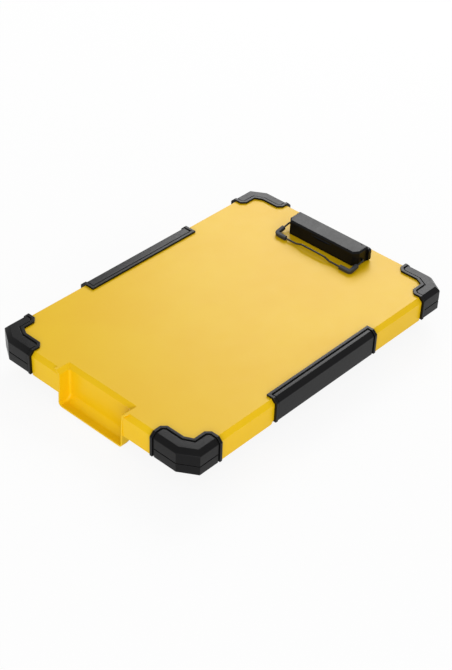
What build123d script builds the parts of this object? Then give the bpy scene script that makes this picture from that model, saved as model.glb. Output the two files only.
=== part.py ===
from build123d import *
import math
import os

# Clipboard storage case: a yellow lid with a paper clip on top, hinged at the
# clip end over a black tray that holds papers and pens.
# Millimetres. The origin is on the table, under the middle of the yellow lid.
# +Y points to the clip end, +X to the right-hand long side, +Z up.

# Lid
lid_length = 432.0
lid_width = 300.8
lid_depth = 31.0
lid_wall = 2.5
lid_edge_chamfer = 5.0
lid_corner_across = 20.0
lid_corner_along = 12.5
rim_height = 20.0
rim_notch = 4.4
rim_notch_slant = 3.5

# Front pocket, moulded in the lid
pocket_inner_width = 96.6
pocket_wall = 2.0
pocket_reach = 14.5
pocket_drop = 16.8
pocket_draft = 1.8
pocket_mouth_chamfer = 4.5
pocket_flare_drop = 1.5
pocket_back_radius = 9.0
pocket_side_radius = 3.0

# Layers of the corner bumpers and side grips, each proud of the lid
base_proud = 1.2
body_proud = 2.3
bead_proud = 3.4
base_top = 0.9
body_top = 1.8
bead_top = 2.6
body_chamfer = 5.2
bead_width = 3.8
groove_width = 1.3
guard_floor = 2.2
parting_line_height = 13.8
parting_line_width = 1.0

# Corner bumpers
bumper_arm_across = 56.6
bumper_arm_along = 44.0
bumper_flange = 18.0
bumper_end_cut = 5.6
bumper_elbow_across = 9.5
bumper_elbow_along = 5.0

# Side grips
grip_front = 87.8
grip_rear = 84.4
right_grip_flange = 12.0
left_grip_flange = 18.0

# Tray
tray_inset = 24.0
tray_corner_radius = 14.0
tray_wall = 2.5
tray_floor = 2.5
tray_edge_chamfer = 1.5
roof_gap = 0.3
divider_wall = 2.0
divider_height = 30.0
pen_channel_width = 30.0
front_bay_length = 72.0
foot_length = 34.0
foot_width = 12.0
foot_thickness = 3.0
foot_proud = 1.5
foot_edge_distance = 16.0
foot_corner_radius = 4.0
foot_chamfer = 0.6

# Rib under the lid that locates it on the tray
rib_gap = 0.9
rib_thickness = 2.0
rib_depth = 4.0
rib_rear_gap = 12.0
rib_corner_cut = 8.0

# Hinges
hinge_spacing = 120.0
hinge_axis_inset = 1.4
hinge_axis_drop = 5.6
knuckle_radius = 4.4
lid_knuckle_length = 22.0
tray_knuckle_length = 8.0
knuckle_gap = 0.4
hinge_pin_diameter = 3.0
hinge_running_fit = 0.05
hinge_arm_height = 11.5
hinge_rim_gap = 2.5
hinge_gusset_rise = 8.0
hinge_pin_chamfer = 0.4

# Latch
latch_clearance = 0.3
latch_web = 2.4
latch_bar_height = 10.0
latch_bar_rise = 8.0
latch_bar_half = 74.0
nose_spacing = 139.0
nose_width = 7.0
nose_depth = 5.8
nose_ramp = 3.0
latch_travel = 8.0
keeper_gap = 0.5
keeper_thickness = 3.6
keeper_lap = 4.6
keeper_stem = 4.0
keeper_stem_gap = 1.4
guide_pitch = 44.0
guide_width = 8.0
guide_arm = 2.2
guide_lip = 2.0
guide_lip_height = 3.0
thumb_tab_width = 12.0
thumb_tab_depth = 10.0
thumb_tab_drop = 12.0
thumb_rib_pitch = 3.0
thumb_rib_width = 1.5
thumb_rib_depth = 0.8
spring_wire = 0.7
spring_radius = 2.3
spring_turns = 6
spring_seat_width = 2.4
spring_place = 12.0
spring_rest_length = 16.0
spring_end_gap = 0.1

# Paper clip
clip_centre_inset = 38.8
cover_length = 109.5
cover_depth = 23.4
cover_height = 19.5
cover_wall = 1.6
cover_roof = 1.6
cover_corner_across = 5.5
cover_corner_along = 7.0
cover_edge_chamfer = 2.0
cover_foot_gap = 0.3
cover_notch_end = 1.8
cover_notch_width = 7.5
cover_notch_depth = 2.8
cover_notch_drop = 3.6
cover_rail_length = 115.0
cover_rail_depth = 3.0
cover_rail_drop = 2.5
cover_rail_radius = 3.0
scoop_width = 36.0
scoop_height = 5.0
scoop_rise = 14.2
scoop_wall = 1.4
wire_radius = 1.15
wire_axis_rise = 7.7
wire_slot_gap = 0.35
wire_inner_end = 26.0
wire_leg = 58.2
wire_turn_radius = 3.0
wire_front_radius = 3.2
wire_arch_radius = 8.0
bail_reach = 14.3
boot_size = 5.2
boot_gap = 0.3
boot_side_length = 13.5
boot_front_length = 15.5
boot_corner_radius = 1.3
bail_arch_half = 17.5
bail_arch_run = 9.0
bail_arch_rise = 2.8
bearing_width = 4.0
bearing_depth = 7.0
bearing_foot = 1.5
bearing_rise = 3.6
bearing_end_gap = 1.4
wire_end_proud = 1.0
bearing_wire_gap = 0.05
clip_base_thickness = 2.4
clip_base_margin = 0.6
clip_spring_end_gap = 0.3
clip_spring_wire = 0.7
screw_diameter = 3.0
screw_head_diameter = 6.0
screw_head_height = 1.8
screw_pitch_across = 66.0
screw_pitch_along = 10.0
screw_boss_wall = 2.0
screw_boss_height = 6.0
screw_hole_depth = 5.0
screw_length = 4.5
screw_drive_depth = 1.0
screw_drive_width = 1.0
screw_drive_span = 3.6

# Worked-out places
lid_top = rim_height + lid_depth
roof_under = lid_top - lid_wall
half_width = lid_width / 2
half_length = lid_length / 2
guard_bottom = rim_height + guard_floor
guard_seat = rim_height + rim_notch
guard_top = lid_top + bead_top
outside = 12.0
pocket_half = pocket_inner_width / 2
pocket_back = -half_length + pocket_reach
pocket_bottom = rim_height - pocket_drop
tray_half_width = half_width - tray_inset
tray_half_length = half_length - tray_inset
tray_bottom = foot_proud
tray_top = roof_under - roof_gap
tray_front = -tray_half_length
hinge_y = half_length - hinge_axis_inset
hinge_z = rim_height - hinge_axis_drop
clip_y = half_length - clip_centre_inset
cover_front = clip_y - cover_depth / 2
cover_rear = clip_y + cover_depth / 2
cover_bottom = lid_top + cover_foot_gap
cover_top = cover_bottom + cover_height - cover_foot_gap
wire_y = clip_y
wire_z = lid_top + wire_axis_rise
latch_bar_bottom = rim_height + latch_bar_rise
bar_rear = tray_front - latch_clearance
bar_front = bar_rear - latch_web

os.makedirs("parts", exist_ok=True)


def save(piece, name):
    """Label a finished piece and write it as its own STEP file."""
    piece.part.label = name
    export_step(piece.part, f"parts/{name}.step")


def case_block(grow, bottom, top, edge):
    """Block with the lid's outline, grown all round, with a chamfered top edge."""
    across = half_width - lid_corner_across
    along = half_length - lid_corner_along
    outline = [
        (across, -half_length), (half_width, -along), (half_width, along), (across, half_length),
        (-across, half_length), (-half_width, along), (-half_width, -along), (-across, -half_length),
    ]
    with BuildPart() as block:
        with BuildSketch(Plane.XY.offset(bottom)):
            with BuildLine():
                Polyline(*outline, close=True)
            make_face()
            if grow:
                offset(amount=grow, kind=Kind.INTERSECTION)
        extrude(amount=top - bottom)
        if edge:
            chamfer(block.faces().sort_by(Axis.Z)[-1].edges(), length=edge)
    return block.part


def corner_prism(inset):
    """Upright prism over the front right corner: the bumper's plan, drawn in by inset."""
    tip = half_width - bumper_arm_across
    inner_x = half_width - bumper_flange
    inner_y = -half_length + bumper_flange
    side = -half_length + bumper_arm_along
    plan = [
        (tip, -half_length - outside), (tip, inner_y - bumper_end_cut),
        (tip + bumper_end_cut, inner_y), (inner_x - bumper_elbow_across, inner_y),
        (inner_x, inner_y + bumper_elbow_along), (inner_x, side - bumper_end_cut),
        (inner_x + bumper_end_cut, side), (half_width + outside, side),
        (half_width + outside, -half_length - outside),
    ]
    with BuildPart() as prism:
        with BuildSketch(Plane.XY.offset(guard_bottom)):
            with BuildLine():
                Polyline(*plan, close=True)
            make_face()
            if inset:
                offset(amount=-inset, kind=Kind.INTERSECTION)
        extrude(amount=guard_top - guard_bottom)
    return prism.part


def grip_prism(flange, inset):
    """Upright prism over the right-hand edge: a side grip's plan, drawn in by inset."""
    with BuildPart() as prism:
        with BuildSketch(Plane.XY.offset(guard_bottom)):
            with BuildLine():
                inner = half_width - flange
                outer = half_width + outside
                Polyline((inner, -grip_front), (outer, -grip_front), (outer, grip_rear),
                         (inner, grip_rear), close=True)
            make_face()
            if inset:
                offset(amount=-inset, kind=Kind.INTERSECTION)
        extrude(amount=guard_top - guard_bottom)
    return prism.part


def guard_layer(plan, proud, top, edge):
    """The part of a guard inside plan that stands proud of the lid by the given amounts."""
    envelope = case_block(proud, guard_bottom, lid_top + top, edge)
    with BuildPart() as layer:
        add(plan)
        add(envelope, mode=Mode.INTERSECT)
    return layer.part


def parting_ring():
    """Square ring that cuts the level parting line round a bumper's body."""
    middle = rim_height + parting_line_height
    low = middle - parting_line_width / 2
    high = middle + parting_line_width / 2
    with BuildPart() as ring:
        add(case_block(outside, low, high, 0))
        add(case_block(base_proud, low, high, 0), mode=Mode.SUBTRACT)
    return ring.part


def guard(plans, with_parting_line):
    """One bumper or grip: base layer, raised body and raised bead, hollow to fit the lid."""
    whole, inside_bead, inside_groove = plans
    with BuildPart() as bead:
        add(guard_layer(whole, bead_proud, bead_top, body_chamfer))
        add(inside_bead, mode=Mode.SUBTRACT)
    with BuildPart() as piece:
        add(guard_layer(inside_groove, body_proud, body_top, body_chamfer))
        if with_parting_line:
            add(parting_ring(), mode=Mode.SUBTRACT)
        add(guard_layer(whole, base_proud, base_top, lid_edge_chamfer))
        add(bead.part)
        add(case_block(0, guard_seat, lid_top, lid_edge_chamfer), mode=Mode.SUBTRACT)
        add(case_block(-lid_wall, guard_bottom - lid_wall, guard_seat, 0), mode=Mode.SUBTRACT)
    return piece.part


def edge_guard(flange):
    """Side grip on the right-hand edge, its top flange as wide as given."""
    groove_inset = bead_width + groove_width
    plans = (grip_prism(flange, 0), grip_prism(flange, bead_width), grip_prism(flange, groove_inset))
    return guard(plans, False)


# Corner bumpers and side grips
bumper_plans = (corner_prism(0), corner_prism(bead_width), corner_prism(bead_width + groove_width))
corner_guard = guard(bumper_plans, True)

with BuildPart() as front_right_bumper:
    add(corner_guard)
save(front_right_bumper, "front_right_bumper")

with BuildPart() as front_left_bumper:
    mirror(corner_guard, about=Plane.YZ)
save(front_left_bumper, "front_left_bumper")

with BuildPart() as rear_right_bumper:
    mirror(corner_guard, about=Plane.XZ)
save(rear_right_bumper, "rear_right_bumper")

with BuildPart() as rear_left_bumper:
    add(corner_guard.rotate(Axis.Z, 180))
save(rear_left_bumper, "rear_left_bumper")

with BuildPart() as right_side_grip:
    add(edge_guard(right_grip_flange))
save(right_side_grip, "right_side_grip")

with BuildPart() as left_side_grip:
    mirror(edge_guard(left_grip_flange), about=Plane.YZ)
save(left_side_grip, "left_side_grip")


# Front pocket: outer form and inner hollow, both open to the front
pocket_outer_half = pocket_half + pocket_wall
pocket_outer_back = pocket_back + pocket_wall
mouth_low = lid_top - pocket_mouth_chamfer
flare_low = mouth_low - pocket_flare_drop
flare = lid_top - flare_low
pocket_floor_top = pocket_bottom + pocket_wall

with BuildPart() as pocket_block:
    with BuildSketch(Plane.YZ.offset(-pocket_outer_half)):
        with BuildLine():
            Polyline(
                (-half_length - pocket_draft, pocket_bottom), (pocket_outer_back, pocket_bottom),
                (pocket_outer_back, flare_low), (-half_length, flare_low), close=True)
        make_face()
    extrude(amount=2 * pocket_outer_half)
    lower_back = pocket_block.edges().filter_by(Axis.X).group_by(Axis.Z)[0].sort_by(Axis.Y)[-1]
    fillet(lower_back, radius=pocket_back_radius + pocket_wall)
    lower_sides = pocket_block.faces().sort_by(Axis.Z)[0].edges().filter_by(Axis.Y)
    fillet(lower_sides, radius=pocket_side_radius + pocket_wall)
    with BuildSketch(Plane.XY.offset(flare_low)):
        with BuildLine():
            Polyline(
                (-pocket_outer_half, -half_length), (pocket_outer_half, -half_length),
                (pocket_outer_half, pocket_outer_back), (-pocket_outer_half, pocket_outer_back),
                close=True)
        make_face()
    with BuildSketch(Plane.XY.offset(lid_top)):
        with BuildLine():
            Polyline(
                (-pocket_outer_half - flare, -half_length), (pocket_outer_half + flare, -half_length),
                (pocket_outer_half + flare, pocket_outer_back + flare),
                (-pocket_outer_half - flare, pocket_outer_back + flare), close=True)
        make_face()
    loft(ruled=True)

with BuildPart() as pocket_hollow:
    with BuildSketch(Plane.YZ.offset(-pocket_half)):
        with BuildLine():
            Polyline(
                (-half_length - outside, pocket_floor_top), (pocket_back, pocket_floor_top),
                (pocket_back, mouth_low), (-half_length - outside, mouth_low), close=True)
        make_face()
    extrude(amount=2 * pocket_half)
    inner_back = pocket_hollow.edges().filter_by(Axis.X).group_by(Axis.Z)[0].sort_by(Axis.Y)[-1]
    fillet(inner_back, radius=pocket_back_radius)
    inner_sides = pocket_hollow.faces().sort_by(Axis.Z)[0].edges().filter_by(Axis.Y)
    fillet(inner_sides, radius=pocket_side_radius)
    mouth_half = pocket_half + pocket_mouth_chamfer
    mouth_back = pocket_back + pocket_mouth_chamfer
    with BuildSketch(Plane.XY.offset(mouth_low)):
        with BuildLine():
            Polyline(
                (-pocket_half, -half_length - outside), (pocket_half, -half_length - outside),
                (pocket_half, pocket_back), (-pocket_half, pocket_back), close=True)
        make_face()
    with BuildSketch(Plane.XY.offset(lid_top)):
        with BuildLine():
            Polyline(
                (-mouth_half, -half_length - outside), (mouth_half, -half_length - outside),
                (mouth_half, mouth_back), (-mouth_half, mouth_back), close=True)
        make_face()
    loft(ruled=True)


# Lid shell
lid_outer = case_block(0, rim_height, lid_top, lid_edge_chamfer)
inner_edge_chamfer = lid_edge_chamfer - lid_wall * (2 - math.sqrt(2))
lid_hollow = case_block(-lid_wall, rim_height - lid_wall, roof_under, inner_edge_chamfer)
tray_inner_half_width = tray_half_width - tray_wall
tray_inner_half_length = tray_half_length - tray_wall
nose_half = nose_spacing / 2
keeper_top = latch_bar_bottom - keeper_gap
keeper_front = bar_front - nose_depth - keeper_stem_gap - keeper_stem
keeper_rear = keeper_front + keeper_stem + keeper_stem_gap + keeper_lap
rib_outer = tray_inner_half_width - rib_gap
rib_front = -tray_inner_half_length + rib_gap
rib_end = tray_inner_half_length - rib_rear_gap
inner_rear = half_length - lid_wall

with BuildPart() as lid_shell:
    add(lid_outer)
    add(lid_hollow, mode=Mode.SUBTRACT)
    # Low notches in the rim, where the bumpers and grips hook under it
    for side in (-1, 1):
        with BuildSketch(Plane.YZ.offset(side * (half_width - outside))):
            with BuildLine():
                Polyline(
                    (-grip_front - rim_notch_slant, rim_height), (-grip_front, rim_height + rim_notch),
                    (grip_rear, rim_height + rim_notch), (grip_rear + rim_notch_slant, rim_height),
                    close=True)
            make_face()
        extrude(amount=side * 2 * outside, mode=Mode.SUBTRACT)
    for across in (-1, 1):
        for along in (-1, 1):
            with BuildSketch(Plane.XY.offset(rim_height)):
                with BuildLine():
                    corner_x = across * (half_width - bumper_arm_across)
                    corner_y = along * (half_length - bumper_arm_along)
                    Polyline(
                        (corner_x, corner_y), (corner_x, along * (half_length + outside)),
                        (across * (half_width + outside), along * (half_length + outside)),
                        (across * (half_width + outside), corner_y), close=True)
                make_face()
            extrude(amount=rim_notch, mode=Mode.SUBTRACT)
    # Locating rib that drops inside the tray's side and front walls
    with BuildSketch(Plane.XY.offset(roof_under - rib_depth)):
        with BuildLine():
            inner = rib_outer - rib_thickness
            inner_front = rib_front + rib_thickness
            cut = rib_corner_cut
            Polyline(
                (-rib_outer, rib_end), (-rib_outer, rib_front + cut), (-rib_outer + cut, rib_front),
                (rib_outer - cut, rib_front), (rib_outer, rib_front + cut), (rib_outer, rib_end),
                (inner, rib_end), (inner, inner_front + cut), (inner - cut, inner_front),
                (-inner + cut, inner_front), (-inner, inner_front + cut), (-inner, rib_end), close=True)
        make_face()
    extrude(amount=rib_depth)
    # Keepers that hang in front of the tray and hook under the latch bar's noses
    for side in (-1, 1):
        with BuildSketch(Plane.YZ.offset(side * nose_half - nose_width / 2)):
            with BuildLine():
                Polyline(
                    (keeper_front, roof_under), (keeper_front, keeper_top - keeper_thickness),
                    (keeper_rear, keeper_top - keeper_thickness), (keeper_rear, keeper_top),
                    (keeper_front + keeper_stem, keeper_top), (keeper_front + keeper_stem, roof_under),
                    close=True)
            make_face()
        extrude(amount=nose_width)
    # Pocket
    add(pocket_block.part)
    add(pocket_hollow.part, mode=Mode.SUBTRACT)
    # Hinge knuckles on the rear wall
    for side in (-1, 1):
        start = side * hinge_spacing / 2 - lid_knuckle_length / 2
        with BuildSketch(Plane.YZ.offset(start)):
            with Locations((hinge_y, hinge_z)):
                Circle(knuckle_radius)
            with BuildLine():
                Polyline(
                    (hinge_y - knuckle_radius, hinge_z), (hinge_y + knuckle_radius, hinge_z),
                    (hinge_y + knuckle_radius, rim_height), (half_length, rim_height + hinge_gusset_rise),
                    (inner_rear, rim_height + hinge_gusset_rise), (hinge_y - knuckle_radius, rim_height),
                    close=True)
            make_face()
            with Locations((hinge_y, hinge_z)):
                Circle(hinge_pin_diameter / 2 + hinge_running_fit, mode=Mode.SUBTRACT)
        extrude(amount=lid_knuckle_length)
    # Screw holes under the paper clip
    with BuildSketch(Plane.XY.offset(roof_under)):
        with Locations((0, clip_y)):
            with GridLocations(screw_pitch_across, screw_pitch_along, 2, 2):
                Circle(screw_diameter / 2)
    extrude(amount=lid_wall, mode=Mode.SUBTRACT)
save(lid_shell, "lid_shell")


# Storage tray
bay_front = -tray_inner_half_length + front_bay_length
channel_left = tray_inner_half_width - pen_channel_width - divider_wall
floor_top = tray_bottom + tray_floor
spring_z = latch_bar_bottom + latch_bar_height + spring_radius + spring_wire
spring_y = bar_rear - spring_radius - spring_wire / 2
lug_left = spring_place + spring_rest_length
lug_side = 2 * (spring_radius + spring_wire)
bar_top = latch_bar_bottom + latch_bar_height
lip_rear = bar_front - latch_clearance
lip_front = lip_rear - guide_lip
tray_knuckle_offset = (lid_knuckle_length + tray_knuckle_length) / 2 + knuckle_gap
arm_top = rim_height - hinge_rim_gap
arm_front = tray_half_length - tray_wall / 2
foot_x = tray_half_width - foot_edge_distance - foot_length / 2
foot_y = tray_half_length - foot_edge_distance - foot_width / 2
foot_pocket = foot_thickness - foot_proud

with BuildPart() as base_tray:
    with BuildSketch(Plane.XY.offset(tray_bottom)):
        RectangleRounded(2 * tray_half_width, 2 * tray_half_length, tray_corner_radius)
    extrude(amount=tray_top - tray_bottom)
    chamfer(base_tray.faces().sort_by(Axis.Z)[0].edges(), length=tray_edge_chamfer)
    with BuildSketch(Plane.XY.offset(floor_top)):
        RectangleRounded(2 * tray_inner_half_width, 2 * tray_inner_half_length,
                         tray_corner_radius - tray_wall)
    extrude(amount=tray_top - floor_top, mode=Mode.SUBTRACT)
    # Dividers: a cross wall, a pen channel on the right and two small front bays
    with BuildSketch(Plane.XY.offset(floor_top)):
        with Locations((0, bay_front + divider_wall / 2)):
            Rectangle(2 * tray_inner_half_width, divider_wall)
        with BuildLine():
            Polyline(
                (channel_left, bay_front), (channel_left + divider_wall, bay_front),
                (channel_left + divider_wall, tray_inner_half_length),
                (channel_left, tray_inner_half_length), close=True)
        make_face()
        with Locations((-tray_inner_half_width / 3, bay_front - front_bay_length / 2),
                       (tray_inner_half_width / 3, bay_front - front_bay_length / 2)):
            Rectangle(divider_wall, front_bay_length)
    extrude(amount=divider_height)
    # Hinge arms under the lid's rim, each with a knuckle
    for side in (-1, 1):
        for flank in (-1, 1):
            start = side * hinge_spacing / 2 + flank * tray_knuckle_offset - tray_knuckle_length / 2
            with BuildSketch(Plane.YZ.offset(start)):
                with BuildLine():
                    Polyline(
                        (arm_front, arm_top - hinge_arm_height), (hinge_y, hinge_z - knuckle_radius),
                        (hinge_y, hinge_z), (hinge_y - knuckle_radius, arm_top), (arm_front, arm_top),
                        close=True)
                make_face()
                with Locations((hinge_y, hinge_z)):
                    Circle(knuckle_radius)
                    Circle(hinge_pin_diameter / 2, mode=Mode.SUBTRACT)
            extrude(amount=tray_knuckle_length)
    # Hooked guides that hold the latch bar against the front wall
    for centre in (-guide_pitch, 0, guide_pitch):
        with BuildSketch(Plane.YZ.offset(centre - guide_width / 2)):
            with BuildLine():
                low = latch_bar_bottom - latch_clearance
                Polyline(
                    (tray_front, low - guide_arm), (lip_front, low - guide_arm),
                    (lip_front, low + guide_lip_height), (lip_rear, low + guide_lip_height),
                    (lip_rear, low), (tray_front, low), close=True)
            make_face()
            with BuildLine():
                high = bar_top + latch_clearance
                Polyline(
                    (tray_front, high + guide_arm), (lip_front, high + guide_arm),
                    (lip_front, high - guide_lip_height), (lip_rear, high - guide_lip_height),
                    (lip_rear, high), (tray_front, high), close=True)
            make_face()
        extrude(amount=guide_width)
    # Lug that the latch spring pushes against
    with BuildSketch(Plane.YZ.offset(lug_left)):
        with Locations((tray_front - lug_side / 2, spring_z)):
            Rectangle(lug_side, lug_side)
    extrude(amount=spring_seat_width)
    # Shallow seats for the rubber feet
    with BuildSketch(Plane.XY.offset(tray_bottom)):
        with GridLocations(2 * foot_x, 2 * foot_y, 2, 2):
            RectangleRounded(foot_length, foot_width, foot_corner_radius)
    extrude(amount=foot_pocket, mode=Mode.SUBTRACT)
save(base_tray, "base_tray")


# Rubber feet
foot_places = {
    "foot_front_left": (-foot_x, -foot_y),
    "foot_front_right": (foot_x, -foot_y),
    "foot_rear_left": (-foot_x, foot_y),
    "foot_rear_right": (foot_x, foot_y),
}
for foot_name, place in foot_places.items():
    with BuildPart() as foot:
        with BuildSketch(Plane.XY):
            with Locations(place):
                RectangleRounded(foot_length, foot_width, foot_corner_radius)
        extrude(amount=foot_thickness)
        chamfer(foot.faces().sort_by(Axis.Z)[0].edges(), length=foot_chamfer)
    save(foot, foot_name)


# Hinge pins
hinge_pin_length = lid_knuckle_length + 2 * (tray_knuckle_length + knuckle_gap)
for pin_name, side in (("hinge_pin_left", -1), ("hinge_pin_right", 1)):
    with BuildPart() as hinge_pin:
        with BuildSketch(Plane.YZ.offset(side * hinge_spacing / 2 - hinge_pin_length / 2)):
            with Locations((hinge_y, hinge_z)):
                Circle(hinge_pin_diameter / 2)
        extrude(amount=hinge_pin_length)
        chamfer(hinge_pin.edges().filter_by(GeomType.CIRCLE), length=hinge_pin_chamfer)
    save(hinge_pin, pin_name)


# Latch bar: web, two noses with lead-in ramps, spring seat and ribbed thumb tab
tab_left = latch_bar_half
tab_bottom = latch_bar_bottom - thumb_tab_drop
tab_front = bar_rear - thumb_tab_depth
seat_front = bar_rear - 2 * spring_radius

with BuildPart() as latch_slide:
    with BuildSketch(Plane.XZ.offset(-bar_rear)):
        with Locations((0, latch_bar_bottom + latch_bar_height / 2)):
            Rectangle(2 * latch_bar_half, latch_bar_height)
    extrude(amount=latch_web)
    for side in (-1, 1):
        with BuildSketch(Plane.YZ.offset(side * nose_half - nose_width / 2)):
            with BuildLine():
                Polyline(
                    (bar_front, latch_bar_bottom), (bar_front - nose_depth, latch_bar_bottom),
                    (bar_front - nose_depth, bar_top - nose_ramp),
                    (bar_front - nose_depth + nose_ramp, bar_top), (bar_front, bar_top), close=True)
            make_face()
        extrude(amount=nose_width)
    with BuildSketch(Plane.YZ.offset(spring_place - spring_seat_width)):
        with BuildLine():
            Polyline(
                (bar_rear, bar_top - latch_web), (bar_front, bar_top - latch_web), (seat_front, bar_top),
                (seat_front, spring_z + spring_radius), (bar_rear, spring_z + spring_radius), close=True)
        make_face()
    extrude(amount=spring_seat_width)
    with BuildSketch(Plane.YZ.offset(tab_left)):
        with BuildLine():
            Polyline(
                (bar_rear, bar_top), (bar_front, bar_top), (tab_front, latch_bar_bottom),
                (tab_front, tab_bottom), (bar_rear, tab_bottom), close=True)
        make_face()
    extrude(amount=thumb_tab_width)
    with BuildSketch(Plane.XY.offset(tab_bottom)):
        with Locations((tab_left + thumb_tab_width / 2, bar_rear - thumb_tab_depth / 2)):
            with GridLocations(thumb_rib_pitch, 0, 3, 1):
                Rectangle(thumb_rib_width, 2 * thumb_tab_depth)
    extrude(amount=thumb_rib_depth, mode=Mode.SUBTRACT)
save(latch_slide, "latch_slide")


# Latch spring: one helical wire between the bar's seat and the tray's lug
coil_length = spring_rest_length - 2 * spring_end_gap - spring_wire
coil_pitch = coil_length / spring_turns
coil_start = spring_place + spring_end_gap + spring_wire / 2

with BuildPart() as latch_spring:
    with BuildLine():
        coil = Helix(pitch=coil_pitch, height=coil_length, radius=spring_radius,
                     center=(coil_start, spring_y, spring_z), direction=(1, 0, 0))
    with BuildSketch(Plane(origin=coil @ 0, z_dir=coil % 0)):
        Circle(spring_wire / 2)
    sweep(path=coil, is_frenet=True)
save(latch_spring, "latch_spring")
print("latch spring gap between turns", round(coil_pitch - spring_wire, 3))


# Paper clip: bearing plate, cover, wire bail, boots, springs and screws
half_cover = cover_length / 2
plate_half = half_cover - cover_wall - clip_base_margin
plate_front = cover_front + cover_wall + clip_base_margin
plate_rear = cover_rear - cover_wall - clip_base_margin
bearing_top = wire_z + bearing_rise
outer_bearing = plate_half - bearing_end_gap - bearing_width
inner_bearing = wire_inner_end + wire_end_proud
boss_radius = screw_diameter / 2 + screw_boss_wall

with BuildPart() as clip_base:
    with BuildSketch(Plane.XY.offset(lid_top)):
        with BuildLine():
            across = cover_corner_across
            along = cover_corner_along
            Polyline(
                (-plate_half + across, plate_front), (plate_half - across, plate_front),
                (plate_half, plate_front + along), (plate_half, plate_rear), (-plate_half, plate_rear),
                (-plate_half, plate_front + along), close=True)
        make_face()
    extrude(amount=clip_base_thickness)
    for inner_face in (outer_bearing, inner_bearing):
        for start in (inner_face, -inner_face - bearing_width):
            with BuildSketch(Plane.YZ.offset(start)):
                with BuildLine():
                    bearing_front = wire_y - bearing_depth / 2
                    bearing_rear = wire_y + bearing_depth / 2
                    Polyline(
                        (bearing_rear + bearing_foot, lid_top), (bearing_rear, bearing_top),
                        (bearing_front, bearing_top), (bearing_front - bearing_foot, lid_top), close=True)
                make_face()
                with Locations((wire_y, wire_z)):
                    Circle(wire_radius + bearing_wire_gap, mode=Mode.SUBTRACT)
            extrude(amount=bearing_width)
    with BuildSketch(Plane.XY.offset(lid_top)):
        with Locations((0, clip_y)):
            with GridLocations(screw_pitch_across, screw_pitch_along, 2, 2):
                Circle(boss_radius)
    extrude(amount=screw_boss_height)
    with BuildSketch(Plane.XY.offset(lid_top)):
        with Locations((0, clip_y)):
            with GridLocations(screw_pitch_across, screw_pitch_along, 2, 2):
                Circle(screw_diameter / 2)
    extrude(amount=screw_hole_depth, mode=Mode.SUBTRACT)
save(clip_base, "clip_base")

scoop_z = cover_bottom + scoop_rise
notch_middle = half_cover - cover_notch_end - cover_notch_width / 2

with BuildPart() as clip_cover:
    with BuildSketch(Plane.XY.offset(cover_bottom)) as cover_plan:
        with BuildLine():
            across = half_cover - cover_corner_across
            along = cover_front + cover_corner_along
            Polyline(
                (-across, cover_front), (across, cover_front), (half_cover, along),
                (half_cover, cover_rear), (-half_cover, cover_rear), (-half_cover, along), close=True)
        make_face()
    extrude(amount=cover_top - cover_bottom)
    top_edges = clip_cover.faces().sort_by(Axis.Z)[-1].edges().sort_by(Axis.Y)
    chamfer(top_edges[:-1], length=cover_edge_chamfer)
    with BuildSketch(Plane.XY.offset(cover_bottom)):
        add(cover_plan.sketch)
        offset(amount=-cover_wall, kind=Kind.INTERSECTION, mode=Mode.REPLACE)
    extrude(amount=cover_top - cover_bottom - cover_roof, mode=Mode.SUBTRACT)
    # Rail along the rear, wider and lower than the housing, with rounded ends
    with BuildSketch(Plane.XZ.offset(-cover_rear - cover_rail_depth)):
        with Locations((0, (cover_bottom + cover_top - cover_rail_drop) / 2)):
            rail = Rectangle(cover_rail_length, cover_top - cover_rail_drop - cover_bottom)
        fillet(rail.vertices().group_by(Axis.Z)[-1], radius=cover_rail_radius)
    extrude(amount=cover_rail_depth + cover_wall)
    # Finger scoop: a spindle sunk into the front face, with a thicker wall behind it
    with BuildSketch(Plane.XY.offset(scoop_z - scoop_height / 2 - scoop_wall)):
        with Locations((0, cover_front + cover_wall + scoop_height / 4)):
            Rectangle(scoop_width, scoop_height / 2)
    extrude(amount=scoop_height + 2 * scoop_wall)
    with BuildSketch(Plane.XZ.offset(-cover_front)):
        with BuildLine():
            ThreePointArc(
                (-scoop_width / 2, scoop_z), (0, scoop_z + scoop_height / 2), (scoop_width / 2, scoop_z))
            Line((scoop_width / 2, scoop_z), (-scoop_width / 2, scoop_z))
        make_face()
    revolve(axis=Axis((0, cover_front, scoop_z), (1, 0, 0)), mode=Mode.SUBTRACT)
    # Notches in the top edge beside the rail
    with BuildSketch(Plane.XY.offset(cover_top - cover_notch_drop)):
        with Locations((-notch_middle, cover_rear - cover_notch_depth / 2),
                       (notch_middle, cover_rear - cover_notch_depth / 2)):
            Rectangle(cover_notch_width, cover_notch_depth)
    extrude(amount=cover_notch_drop, mode=Mode.SUBTRACT)
    # Slots in the ends, open below, that drop over the wire
    slot_half = wire_radius + wire_slot_gap
    with BuildSketch(Plane.YZ.offset(-half_cover)):
        with BuildLine():
            Polyline((wire_y - slot_half, cover_bottom), (wire_y - slot_half, wire_z),
                     (wire_y + slot_half, wire_z), (wire_y + slot_half, cover_bottom), close=True)
        make_face()
        with Locations((wire_y, wire_z)):
            Circle(slot_half)
    extrude(amount=cover_length, mode=Mode.SUBTRACT)
save(clip_cover, "clip_cover")


# Wire bail, from its left inner end round the paper bar to its right inner end
boot_under = lid_top + boot_gap
bar_z = boot_under + boot_size / 2
bar_y = cover_front - bail_reach
right_half = [
    (wire_inner_end, wire_y, wire_z),
    (wire_leg, wire_y, wire_z),
    (wire_leg, bar_y, bar_z),
    (bail_arch_half + bail_arch_run, bar_y, bar_z),
    (bail_arch_half, bar_y, bar_z + bail_arch_rise),
]
left_half = [(-x, y, z) for x, y, z in right_half]
bail_points = left_half + right_half[::-1]
half_radii = [wire_turn_radius, wire_front_radius, wire_arch_radius, wire_arch_radius]
bail_radii = half_radii + half_radii[::-1]

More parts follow.
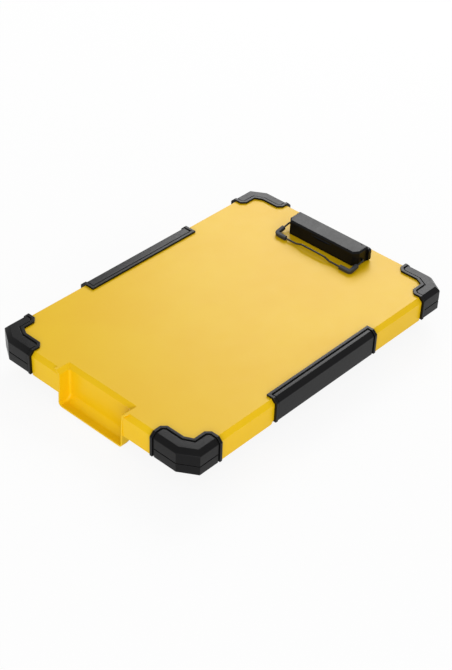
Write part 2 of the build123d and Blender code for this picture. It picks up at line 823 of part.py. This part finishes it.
with BuildPart() as wire_bail:
    with BuildLine():
        bail_path = FilletPolyline(*bail_points, radius=bail_radii)
    with BuildSketch(Plane(origin=bail_path @ 0, z_dir=bail_path % 0)):
        Circle(wire_radius)
    sweep(path=bail_path)
save(wire_bail, "wire_bail")


def bail_boot(name, side):
    """Rubber boot, square outside, round the wire at one front corner."""
    leg_rise = (wire_z - bar_z) / (wire_y - bar_y)
    side_end_y = bar_y + boot_side_length
    side_end = (side * wire_leg, side_end_y, bar_z + leg_rise * boot_side_length)
    corner = (side * wire_leg, bar_y, bar_z)
    front_end = (side * (wire_leg - boot_front_length), bar_y, bar_z)
    with BuildPart() as boot:
        with BuildLine():
            boot_path = FilletPolyline(side_end, corner, front_end, radius=wire_front_radius)
        with BuildSketch(Plane(origin=boot_path @ 0, x_dir=(1, 0, 0), z_dir=boot_path % 0)):
            RectangleRounded(boot_size, boot_size, boot_corner_radius)
            Circle(wire_radius, mode=Mode.SUBTRACT)
        sweep(path=boot_path)
    save(boot, name)


bail_boot("bail_boot_left", -1)
bail_boot("bail_boot_right", 1)


# Torsion springs round the wire ends, each with a leg down to the plate
clip_spring_start = inner_bearing + bearing_width + clip_spring_end_gap
clip_spring_end = outer_bearing - clip_spring_end_gap
clip_spring_inner = wire_radius + bearing_wire_gap
clip_spring_outer = clip_spring_inner + clip_spring_wire

with BuildPart() as clip_spring_right:
    with BuildSketch(Plane.YZ.offset(clip_spring_start)):
        with Locations((wire_y, wire_z)):
            Circle(clip_spring_outer)
            Circle(clip_spring_inner, mode=Mode.SUBTRACT)
    extrude(amount=clip_spring_end - clip_spring_start)
    with BuildSketch(Plane.YZ.offset(clip_spring_end - clip_spring_wire)):
        with BuildLine():
            leg_front = wire_y - clip_spring_outer
            leg_rear = wire_y - clip_spring_inner
            leg_foot = lid_top + clip_base_thickness
            Polyline((leg_front, wire_z), (leg_rear, wire_z), (leg_rear, leg_foot),
                     (leg_front, leg_foot), close=True)
        make_face()
    extrude(amount=clip_spring_wire)
save(clip_spring_right, "clip_spring_right")

with BuildPart() as clip_spring_left:
    mirror(clip_spring_right.part, about=Plane.YZ)
save(clip_spring_left, "clip_spring_left")


# Clip screws, driven up from inside the lid
with BuildPart() as clip_screws:
    with BuildSketch(Plane.XY.offset(roof_under)):
        with Locations((0, clip_y)):
            with GridLocations(screw_pitch_across, screw_pitch_along, 2, 2):
                Circle(screw_diameter / 2)
    extrude(amount=lid_wall + screw_length)
    with BuildSketch(Plane.XY.offset(roof_under)):
        with Locations((0, clip_y)):
            with GridLocations(screw_pitch_across, screw_pitch_along, 2, 2):
                Circle(screw_head_diameter / 2)
    extrude(amount=-screw_head_height)
    with BuildSketch(Plane.XY.offset(roof_under - screw_head_height)):
        with Locations((0, clip_y)):
            with GridLocations(screw_pitch_across, screw_pitch_along, 2, 2):
                Rectangle(screw_drive_width, screw_drive_span)
                Rectangle(screw_drive_span, screw_drive_width)
    extrude(amount=screw_drive_depth, mode=Mode.SUBTRACT)
save(clip_screws, "clip_screws")
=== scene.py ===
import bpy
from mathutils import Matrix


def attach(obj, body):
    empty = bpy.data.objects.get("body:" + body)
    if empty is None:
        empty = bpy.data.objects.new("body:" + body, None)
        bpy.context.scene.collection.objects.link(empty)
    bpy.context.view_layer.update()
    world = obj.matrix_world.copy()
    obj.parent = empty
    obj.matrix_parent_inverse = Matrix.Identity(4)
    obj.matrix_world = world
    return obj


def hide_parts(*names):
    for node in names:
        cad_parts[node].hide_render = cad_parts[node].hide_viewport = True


bl_info = {
    "name": "Clipboard storage case",
    "version": (1, 0, 0),
    "blender": (4, 5, 0),
    "location": "3D View > Sidebar > Case",
    "description": "Finishes a yellow and black clipboard storage case and sets its studio stage",
    "category": "Object",
}

import math

import bmesh
import bpy
from mathutils import Matrix, Vector

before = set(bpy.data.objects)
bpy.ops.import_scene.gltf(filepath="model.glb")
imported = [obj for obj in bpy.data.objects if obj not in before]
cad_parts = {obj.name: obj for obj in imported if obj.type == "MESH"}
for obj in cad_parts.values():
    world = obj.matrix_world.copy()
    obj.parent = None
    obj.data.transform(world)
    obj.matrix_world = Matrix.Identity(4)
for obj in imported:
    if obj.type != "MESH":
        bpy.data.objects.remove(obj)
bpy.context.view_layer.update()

MILLIMETRE = 0.001

# Where the photograph was taken from, in the frame of the case, and its lens in millimetres
CAMERA_PLACE = Vector((0.9091, -1.0211, 1.0646))
CAMERA_AZIMUTH = math.radians(41.702)
CAMERA_ELEVATION = math.radians(37.654)
CAMERA_ROLL = math.radians(2.089)
CAMERA_LENS = 79.293
CAMERA_SENSOR = 36.0
CAMERA_NEAR = 0.05

# Studio floor and softboxes, in metres; a softbox has a place, a target, a width and a height
FLOOR_HALF = 6.0
FLOOR_ROUGHNESS = 0.9
BACK_BOX = ((-1.25, 2.25, 1.7), (0.1, 0.15, 0.05), 1.7, 1.1)
FRONT_BOX = ((1.55, -1.75, 0.6), (0.0, 0.0, 0.03), 2.0, 0.9)

# Plain white, and what the camera sees of the sky
WHITE = (1.0, 1.0, 1.0, 1.0)
SKY_SEEN = (0.8, 0.8, 0.8, 1.0)

# Widths of the patterns in the finishes, and the depth of a brush stroke
MOULDING_DRIFT = 70 * MILLIMETRE
HANDLING_MARKS = 9 * MILLIMETRE
DUST_SPOTS = 4 * MILLIMETRE
ORANGE_PEEL = 1.2 * MILLIMETRE
BRUSH_STROKES = 0.4 * MILLIMETRE
BRUSH_DEPTH = 0.004 * MILLIMETRE

# How much a pattern is squeezed along x, y and z
EVEN = (1.0, 1.0, 1.0)
HANDLING_SQUEEZE = (1.0, 0.5, 1.0)
CLIP_SPRING_SQUEEZE = (1.0, 8.0, 8.0)
PIN_SQUEEZE = (0.1, 1.0, 1.0)
LATCH_SPRING_SQUEEZE = (4.0, 1.0, 1.0)

# How far the roughness of each finish swings
SHELL_SWING = 0.08
BLACK_SWING = 0.12
RUBBER_SWING = 0.15
WIRE_SWING = 0.1
STEEL_SWING = 0.15

# Depth of each relief in grain depths, and of the handling marks beside the grain
SHELL_RELIEF = 0.6
BLACK_RELIEF = 2.0
WIRE_RELIEF = 2.0
HANDLING_RELIEF = 0.4

# Shades that a finish drifts between, as shares of its colour, and the noise levels where it turns
BLACK_SHADE = 0.8
RUBBER_SHADES = (0.85, 1.15)
WIRE_SHADES = (0.8, 1.3)
STEEL_SHADE = 0.85
MOULDING_RAMP = (0.35, 0.65)
DUST_RAMP = (0.3, 0.75)

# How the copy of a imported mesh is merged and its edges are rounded
WELD_DISTANCE = 0.002 * MILLIMETRE
FLAT_ANGLE = math.radians(0.4)
SHARP_ANGLE = math.radians(24.0)
BEVEL_SEGMENTS = 2
BEVEL_PROFILE = 0.5


def colour(name, text, default):
    """A colour that the sidebar shows, in linear light."""
    return bpy.props.FloatVectorProperty(
        name=name, description=text, subtype="COLOR", size=3, min=0.0, max=1.0, default=default)


def length(name, text, default):
    """A length in metres that the sidebar shows."""
    return bpy.props.FloatProperty(
        name=name, description=text, unit="LENGTH", subtype="DISTANCE", min=0.0, precision=5,
        default=default)


def share(name, text, default):
    """A number from 0 to 1 that the sidebar shows as a slider."""
    return bpy.props.FloatProperty(
        name=name, description=text, subtype="FACTOR", min=0.0, max=1.0, default=default)


class CaseColours(bpy.types.PropertyGroup):
    """Colours of the mouldings, the wire and the steel."""

    shell: colour("Shell", "Yellow of the lid", (0.88, 0.555, 0.004))
    shell_deep: colour("Shell, deep", "Yellow where the moulding is a little richer", (0.87, 0.53, 0.003))
    guard: colour("Guards", "Black of the bumpers and side grips", (0.0035, 0.0035, 0.0038))
    clip: colour("Clip", "Black of the clip housing", (0.0035, 0.0035, 0.0038))
    wire: colour("Wire", "Black coat on the wire bail", (0.004, 0.004, 0.0045))
    boot: colour("Boots", "Grey-black rubber on the corners of the wire", (0.014, 0.016, 0.021))
    tray: colour("Tray", "Black of the storage tray", (0.02, 0.02, 0.021))
    latch: colour("Latch", "Black of the latch bar", (0.014, 0.014, 0.015))
    foot: colour("Feet", "Black of the rubber feet", (0.018, 0.018, 0.018))
    steel: colour("Steel", "Zinc plated screws and pins", (0.6, 0.6, 0.62))
    spring: colour("Spring", "Drawn spring wire", (0.5, 0.5, 0.52))
    floor: colour("Floor", "Pale studio floor", (0.92, 0.92, 0.92))


class CaseGloss(bpy.types.PropertyGroup):
    """How rough and how shiny each finish is."""

    shell_roughness: share("Shell roughness", "Roughness of the yellow lid", 0.36)
    shell_gloss: share("Shell gloss", "Strength of the mirror light on the yellow lid", 0.19)
    black_gloss: share("Black gloss", "Strength of the mirror light on the black mouldings", 0.14)
    guard_roughness: share("Guard roughness", "Roughness of the bumpers and side grips", 0.3)
    clip_roughness: share("Clip roughness", "Roughness of the clip housing and its plate", 0.34)
    tray_roughness: share("Tray roughness", "Roughness of the storage tray", 0.5)
    latch_roughness: share("Latch roughness", "Roughness of the latch bar", 0.38)
    rubber_roughness: share("Rubber roughness", "Roughness of the boots and feet", 0.55)
    wire_roughness: share("Wire roughness", "Roughness of the coat on the wire", 0.28)
    steel_roughness: share("Steel roughness", "Roughness of screws, pins and springs", 0.3)


class CaseSizes(bpy.types.PropertyGroup):
    """Sizes of the finish: edge radii, grain and the strength of the studio light."""

    shell_edge: length("Shell edge", "Radius on the moulded edges of the lid", 0.5 * MILLIMETRE)
    guard_edge: length("Guard edge", "Radius on the edges of the bumpers and grips", 0.45 * MILLIMETRE)
    clip_edge: length("Clip edge", "Radius on the edges of the clip housing", 0.4 * MILLIMETRE)
    tray_edge: length("Tray edge", "Radius on the edges of the tray", 0.4 * MILLIMETRE)
    small_edge: length("Small edge", "Radius on the edges of the small mouldings", 0.25 * MILLIMETRE)
    grain: length("Grain", "Width of one grain of the moulded texture", 0.45 * MILLIMETRE)
    grain_depth: length("Grain depth", "Depth of the moulded texture", 0.012 * MILLIMETRE)
    sky: bpy.props.FloatProperty(
        name="Sky", description="Brightness of the even light all round", min=0.0, default=0.55)
    back_light: bpy.props.FloatProperty(
        name="Back light", description="Power of the softbox behind the case", unit="POWER",
        min=0.0, default=46.0)
    front_light: bpy.props.FloatProperty(
        name="Front light", description="Power of the low softbox beside the camera", unit="POWER",
        min=0.0, default=28.0)
    floor_shadow: share("Floor shadow", "How much of its own shade the white floor keeps", 0.1)


class Signal:
    """A number that varies over a surface. Python arithmetic on it adds Math nodes."""

    def __init__(self, graph, socket):
        self.graph = graph
        self.socket = socket

    def _math(self, operation, first, second):
        made = self.graph.node("ShaderNodeMath", {"operation": operation}, {0: first, 1: second})
        return Signal(self.graph, made.outputs[0])

    def __add__(self, other):
        return self._math("ADD", self, other)

    def __radd__(self, other):
        return self._math("ADD", other, self)

    def __sub__(self, other):
        return self._math("SUBTRACT", self, other)

    def __rsub__(self, other):
        return self._math("SUBTRACT", other, self)

    def __mul__(self, other):
        return self._math("MULTIPLY", self, other)

    def __rmul__(self, other):
        return self._math("MULTIPLY", other, self)

    def larger(self, other):
        """The larger of two signals."""
        return self._math("MAXIMUM", self, other)

    def swing(self, size):
        """Noise, whose middle is a half, as a swing of this size about 0."""
        return size * (self - 0.5)

    def above(self, low, high):
        """0 below low and 1 above high, with a straight ramp between."""
        made = self.graph.node("ShaderNodeMapRange", {"clamp": True}, {0: self, 1: low, 2: high})
        return Signal(self.graph, made.outputs[0])


class Graph:
    """A node tree, whose nodes all come from one method."""

    def __init__(self, tree):
        self.tree = tree

    def node(self, kind, settings=None, inputs=None):
        """A new node: its settings first, then the values or links of its sockets."""
        made = self.tree.nodes.new(kind)
        for key, value in (settings or {}).items():
            setattr(made, key, value)
        for key, value in (inputs or {}).items():
            self.feed(made.inputs[key], value)
        return made

    def feed(self, socket, value):
        """Set a socket to a value, or link it where the value is a signal or a socket."""
        if isinstance(value, Signal):
            value = value.socket
        if isinstance(value, bpy.types.NodeSocket):
            self.tree.links.new(value, socket)
        else:
            socket.default_value = value

    def seen_directly(self):
        """1 for what the camera, a mirror or glass sees, and 0 for light on surfaces."""
        rays = self.node("ShaderNodeLightPath").outputs
        seen = Signal(self, rays["Is Camera Ray"])
        for ray in ("Is Glossy Ray", "Is Transmission Ray"):
            seen = seen.larger(Signal(self, rays[ray]))
        return seen


class Finish(Graph):
    """The node tree of one material, ending in a Principled shader."""

    def __init__(self, name):
        self.material = bpy.data.materials.new(name)
        self.material.use_nodes = True
        super().__init__(self.material.node_tree)
        self.shader = self.tree.nodes["Principled BSDF"]
        self.place = self.node("ShaderNodeTexCoord").outputs["Object"]

    def noise(self, width, detail, roughness=0.5, squeeze=EVEN):
        """Noise whose blobs are about width across, squeezed along the axes."""
        mapped = self.node("ShaderNodeMapping", None, {"Vector": self.place, "Scale": squeeze})
        made = self.node("ShaderNodeTexNoise", None, {
            "Vector": mapped.outputs[0], "Scale": 1.0 / width, "Detail": detail, "Roughness": roughness})
        return Signal(self, made.outputs[0])

    def cells(self, width):
        """Distance to the middle of round cells about width across."""
        made = self.node("ShaderNodeTexVoronoi", {"feature": "SMOOTH_F1"}, {
            "Vector": self.place, "Scale": 1.0 / width})
        return Signal(self, made.outputs[0])

    def mix(self, factor, first, second):
        """A colour between two colours."""
        made = self.node("ShaderNodeMix", {"data_type": "RGBA"}, {
            "Factor": factor, 6: (*first, 1.0), 7: (*second, 1.0)})
        return made.outputs[2]

    def bump(self, height, distance):
        """Relief of the surface from a signal, distance deep."""
        made = self.node("ShaderNodeBump", None, {
            "Height": height, "Distance": distance, "Strength": 1.0})
        self.feed(self.shader.inputs["Normal"], made.outputs[0])

    def set(self, **values):
        """Set sockets of the shader by name, with underscores for spaces."""
        for key, value in values.items():
            self.feed(self.shader.inputs[key.replace("_", " ")], value)


def moulded(name, base, deep, roughness, swing, gloss, grain, depth):
    """Moulded plastic: slow drifts of colour and gloss under a fine sandy grain."""
    finish = Finish(name)
    drift = finish.noise(MOULDING_DRIFT, detail=3.0)
    handled = finish.noise(HANDLING_MARKS, detail=4.0, roughness=0.6, squeeze=HANDLING_SQUEEZE)
    sand = finish.cells(grain)
    finish.set(Base_Color=finish.mix(drift.above(*MOULDING_RAMP), base, deep))
    finish.set(Roughness=roughness + handled.swing(swing) + drift.swing(swing / 2))
    finish.set(Specular_IOR_Level=gloss)
    finish.bump(sand + HANDLING_RELIEF * handled, depth)
    return finish.material


def shaded(base, shade):
    """A colour at a share of its brightness."""
    return tuple(channel * shade for channel in base)


def shell_finish(scene):
    """Satin yellow plastic of the lid."""
    colours, gloss, sizes = scene.case_colours, scene.case_gloss, scene.case_sizes
    return moulded("yellow_shell", colours.shell, colours.shell_deep, gloss.shell_roughness,
                   SHELL_SWING, gloss.shell_gloss, sizes.grain, SHELL_RELIEF * sizes.grain_depth)


def black_finish(name, base, roughness, scene):
    """Matt black plastic with a sandy grain."""
    gloss, sizes = scene.case_gloss, scene.case_sizes
    return moulded(name, base, shaded(base, BLACK_SHADE), roughness,
                   BLACK_SWING, gloss.black_gloss, sizes.grain, BLACK_RELIEF * sizes.grain_depth)


def rubber_finish(name, base, scene):
    """Soft rubber: almost no grain, dusty and dull."""
    finish = Finish(name)
    dark, light = (shaded(base, shade) for shade in RUBBER_SHADES)
    dust = finish.noise(DUST_SPOTS, detail=4.0, roughness=0.65)
    finish.set(Base_Color=finish.mix(dust.above(*DUST_RAMP), dark, light))
    finish.set(Roughness=scene.case_gloss.rubber_roughness + dust.swing(RUBBER_SWING))
    finish.bump(dust, scene.case_sizes.grain_depth)
    return finish.material


def coated_wire_finish(base, scene):
    """Black powder coat on steel wire: glossy, with a faint orange-peel skin."""
    finish = Finish("black_wire")
    dark, light = (shaded(base, shade) for shade in WIRE_SHADES)
    peel = finish.noise(ORANGE_PEEL, detail=1.0)
    finish.set(Base_Color=finish.mix(peel, dark, light))
    finish.set(Roughness=scene.case_gloss.wire_roughness + peel.swing(WIRE_SWING))
    finish.bump(peel, WIRE_RELIEF * scene.case_sizes.grain_depth)
    return finish.material


def steel_finish(name, base, squeeze, scene):
    """Bare or plated steel, with its strokes longest along the axis where they are squeezed least."""
    finish = Finish(name)
    strokes = finish.noise(BRUSH_STROKES, detail=3.0, squeeze=squeeze)
    finish.set(Base_Color=finish.mix(strokes, shaded(base, STEEL_SHADE), base), Metallic=1.0)
    finish.set(Roughness=scene.case_gloss.steel_roughness + strokes.swing(STEEL_SWING))
    finish.bump(strokes, BRUSH_DEPTH)
    return finish.material


def softened(node, body, radius, material):
    """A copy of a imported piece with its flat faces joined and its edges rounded, which stands for it."""
    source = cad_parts[node]
    work = bmesh.new()
    work.from_mesh(source.data)
    bmesh.ops.remove_doubles(work, verts=work.verts, dist=WELD_DISTANCE)
    bmesh.ops.dissolve_limit(work, angle_limit=FLAT_ANGLE, verts=work.verts, edges=work.edges)
    sharp = [edge for edge in work.edges if edge.is_manifold and edge.calc_face_angle() > SHARP_ANGLE]
    bmesh.ops.bevel(
        work, geom=sharp, offset=radius, offset_type="OFFSET", segments=BEVEL_SEGMENTS,
        profile=BEVEL_PROFILE, affect="EDGES", clamp_overlap=True, material=-1)
    for face in work.faces:
        face.smooth = True
    mesh = bpy.data.meshes.new(f"{node}_finished")
    work.to_mesh(mesh)
    work.free()
    piece = bpy.data.objects.new(f"{node}_finished", mesh)
    bpy.context.scene.collection.objects.link(piece)
    piece.data.materials.append(material)
    weighted = piece.modifiers.new("Flat faces stay flat", "WEIGHTED_NORMAL")
    weighted.keep_sharp = True
    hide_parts(node)
    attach(piece, body)
    return piece


def dressed(node, material):
    """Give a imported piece, shown as it is, its finish."""
    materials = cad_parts[node].data.materials
    materials.clear()
    materials.append(material)


class CASE_OT_shell(bpy.types.Operator):
    """Finish the yellow lid shell"""

    bl_idname = "case.shell"
    bl_label = "Lid shell"

    def execute(self, context):
        scene = context.scene
        piece = softened("lid_shell", "lid", scene.case_sizes.shell_edge, shell_finish(scene))
        return {"FINISHED"}


class CASE_OT_guards(bpy.types.Operator):
    """Finish the four corner bumpers and the two side grips"""

    bl_idname = "case.guards"
    bl_label = "Bumpers and grips"

    def execute(self, context):
        scene = context.scene
        colours, sizes = scene.case_colours, scene.case_sizes
        black = black_finish("black_guard", colours.guard, scene.case_gloss.guard_roughness, scene)
        corners = [f"{end}_{side}_bumper" for end in ("front", "rear") for side in ("left", "right")]
        for node in corners + ["left_side_grip", "right_side_grip"]:
            softened(node, "lid", sizes.guard_edge, black)
        return {"FINISHED"}


class CASE_OT_clip(bpy.types.Operator):
    """Finish the paper clip: housing, plate, wire, boots, springs and screws"""

    bl_idname = "case.clip"
    bl_label = "Paper clip"

    def execute(self, context):
        scene = context.scene
        colours, sizes = scene.case_colours, scene.case_sizes
        black = black_finish("black_clip", colours.clip, scene.case_gloss.clip_roughness, scene)
        softened("clip_cover", "lid", sizes.clip_edge, black)
        softened("clip_base", "lid", sizes.small_edge, black)
        rubber = rubber_finish("boot_rubber", colours.boot, scene)
        for side in ("left", "right"):
            boot = softened(f"bail_boot_{side}", "bail", sizes.small_edge, rubber)
        dressed("wire_bail", coated_wire_finish(colours.wire, scene))
        spring = steel_finish("spring_steel", colours.spring, CLIP_SPRING_SQUEEZE, scene)
        zinc = steel_finish("zinc_steel", colours.steel, EVEN, scene)
        dressed("clip_spring_left", spring)
        dressed("clip_spring_right", spring)
        dressed("clip_screws", zinc)
        return {"FINISHED"}


class CASE_OT_tray(bpy.types.Operator):
    """Finish the storage tray, its rubber feet and the hinge pins"""

    bl_idname = "case.tray"
    bl_label = "Tray"

    def execute(self, context):
        scene = context.scene
        colours, sizes = scene.case_colours, scene.case_sizes
        black = black_finish("black_tray", colours.tray, scene.case_gloss.tray_roughness, scene)
        softened("base_tray", "tray", sizes.tray_edge, black)
        rubber = rubber_finish("foot_rubber", colours.foot, scene)
        for place in ("front_left", "front_right", "rear_left", "rear_right"):
            softened(f"foot_{place}", "tray", sizes.small_edge, rubber)
        zinc = steel_finish("pin_steel", colours.steel, PIN_SQUEEZE, scene)
        dressed("hinge_pin_left", zinc)
        dressed("hinge_pin_right", zinc)
        return {"FINISHED"}


class CASE_OT_latch(bpy.types.Operator):
    """Finish the latch bar and its spring"""

    bl_idname = "case.latch"
    bl_label = "Latch"

    def execute(self, context):
        scene = context.scene
        colours, sizes = scene.case_colours, scene.case_sizes
        black = black_finish("latch_plastic", colours.latch, scene.case_gloss.latch_roughness, scene)
        softened("latch_slide", "latch", sizes.small_edge, black)
        spring = steel_finish("latch_spring_steel", colours.spring, LATCH_SPRING_SQUEEZE, scene)
        dressed("latch_spring", spring)
        return {"FINISHED"}


def softbox(name, place, target, width, height, power):
    """A rectangular area lamp that faces a point."""
    lamp = bpy.data.lights.new(name, "AREA")
    lamp.shape = "RECTANGLE"
    lamp.size = width
    lamp.size_y = height
    lamp.energy = power
    box = bpy.data.objects.new(name, lamp)
    box.location = place
    box.rotation_euler = (Vector(target) - Vector(place)).to_track_quat("-Z", "Y").to_euler()
    bpy.context.scene.collection.objects.link(box)


def studio_camera():
    """The camera where the photograph was taken from."""
    lens = bpy.data.cameras.new("camera")
    lens.sensor_width = CAMERA_SENSOR
    lens.lens = CAMERA_LENS
    lens.clip_start = CAMERA_NEAR
    camera = bpy.data.objects.new("camera", lens)
    level = math.cos(CAMERA_ELEVATION)
    look = Vector((
        -math.sin(CAMERA_AZIMUTH) * level, math.cos(CAMERA_AZIMUTH) * level, -math.sin(CAMERA_ELEVATION)))
    turned = look.to_track_quat("-Z", "Y").to_matrix().to_4x4() @ Matrix.Rotation(CAMERA_ROLL, 4, "Z")
    camera.matrix_world = Matrix.Translation(CAMERA_PLACE) @ turned
    bpy.context.scene.collection.objects.link(camera)
    bpy.context.scene.camera = camera


def studio_sky(strength):
    """Even white light all round, which the camera sees as pale grey."""
    world = bpy.data.worlds.new("studio")
    world.use_nodes = True
    graph = Graph(world.node_tree)
    light = graph.tree.nodes["Background"]
    graph.feed(light.inputs["Color"], WHITE)
    graph.feed(light.inputs["Strength"], strength)
    grey = graph.node("ShaderNodeBackground", None, {"Color": SKY_SEEN})
    mix = graph.node("ShaderNodeMixShader", None, {
        0: graph.seen_directly(), 1: light.outputs[0], 2: grey.outputs[0]})
    graph.feed(graph.tree.nodes["World Output"].inputs["Surface"], mix.outputs[0])
    bpy.context.scene.world = world


def studio_floor(tint, shadow):
    """A pale floor that reads as white paper, keeps a soft shadow and is clear from below."""
    work = bmesh.new()
    bmesh.ops.create_grid(work, x_segments=1, y_segments=1, size=FLOOR_HALF)
    mesh = bpy.data.meshes.new("studio_floor")
    work.to_mesh(mesh)
    work.free()
    floor = bpy.data.objects.new("studio_floor", mesh)
    bpy.context.scene.collection.objects.link(floor)
    finish = Finish("studio_floor")
    finish.set(Base_Color=(*tint, 1.0), Roughness=FLOOR_ROUGHNESS)
    paper = finish.node("ShaderNodeEmission", None, {"Color": WHITE})
    below = finish.node("ShaderNodeBsdfTransparent")
    geometry = finish.node("ShaderNodeNewGeometry")
    lit = finish.node("ShaderNodeMixShader", None, {
        0: finish.seen_directly() * (1.0 - shadow), 1: finish.shader.outputs[0], 2: paper.outputs[0]})
    both = finish.node("ShaderNodeMixShader", None, {
        0: geometry.outputs["Backfacing"], 1: lit.outputs[0], 2: below.outputs[0]})
    finish.feed(finish.tree.nodes["Material Output"].inputs["Surface"], both.outputs[0])
    mesh.materials.append(finish.material)


class CASE_OT_stage(bpy.types.Operator):
    """Set the floor, the sky, the softboxes and the camera"""

    bl_idname = "case.stage"
    bl_label = "Studio stage"

    def execute(self, context):
        colours, sizes = context.scene.case_colours, context.scene.case_sizes
        studio_floor(colours.floor, sizes.floor_shadow)
        studio_sky(sizes.sky)
        softbox("back_softbox", *BACK_BOX, sizes.back_light)
        softbox("front_softbox", *FRONT_BOX, sizes.front_light)
        studio_camera()
        context.scene.view_settings.view_transform = "Standard"
        return {"FINISHED"}


class CASE_PT_sidebar(bpy.types.Panel):
    """Lists the steps with their colours, gloss and sizes"""

    bl_idname = "CASE_PT_sidebar"
    bl_label = "Clipboard case"
    bl_space_type = "VIEW_3D"
    bl_region_type = "UI"
    bl_category = "Case"

    def draw(self, context):
        for step in STEPS:
            self.layout.operator(step.bl_idname)
        scene = context.scene
        for group in (scene.case_colours, scene.case_gloss, scene.case_sizes):
            box = self.layout.box()
            for name in group.__annotations__:
                box.prop(group, name)


STEPS = (CASE_OT_shell, CASE_OT_guards, CASE_OT_clip, CASE_OT_tray, CASE_OT_latch, CASE_OT_stage)
CLASSES = (CaseColours, CaseGloss, CaseSizes, *STEPS, CASE_PT_sidebar)


def register():
    """Register the classes and hang the settings on the scene."""
    for item in CLASSES:
        bpy.utils.register_class(item)
    bpy.types.Scene.case_colours = bpy.props.PointerProperty(type=CaseColours)
    bpy.types.Scene.case_gloss = bpy.props.PointerProperty(type=CaseGloss)
    bpy.types.Scene.case_sizes = bpy.props.PointerProperty(type=CaseSizes)


def unregister():
    """Take the settings and the classes away again."""
    del bpy.types.Scene.case_sizes
    del bpy.types.Scene.case_gloss
    del bpy.types.Scene.case_colours
    for item in reversed(CLASSES):
        bpy.utils.unregister_class(item)


def main():
    """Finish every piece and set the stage."""
    register()
    bpy.ops.case.shell()
    bpy.ops.case.guards()
    bpy.ops.case.clip()
    bpy.ops.case.tray()
    bpy.ops.case.latch()
    bpy.ops.case.stage()


if __name__ == "__main__":
    main()
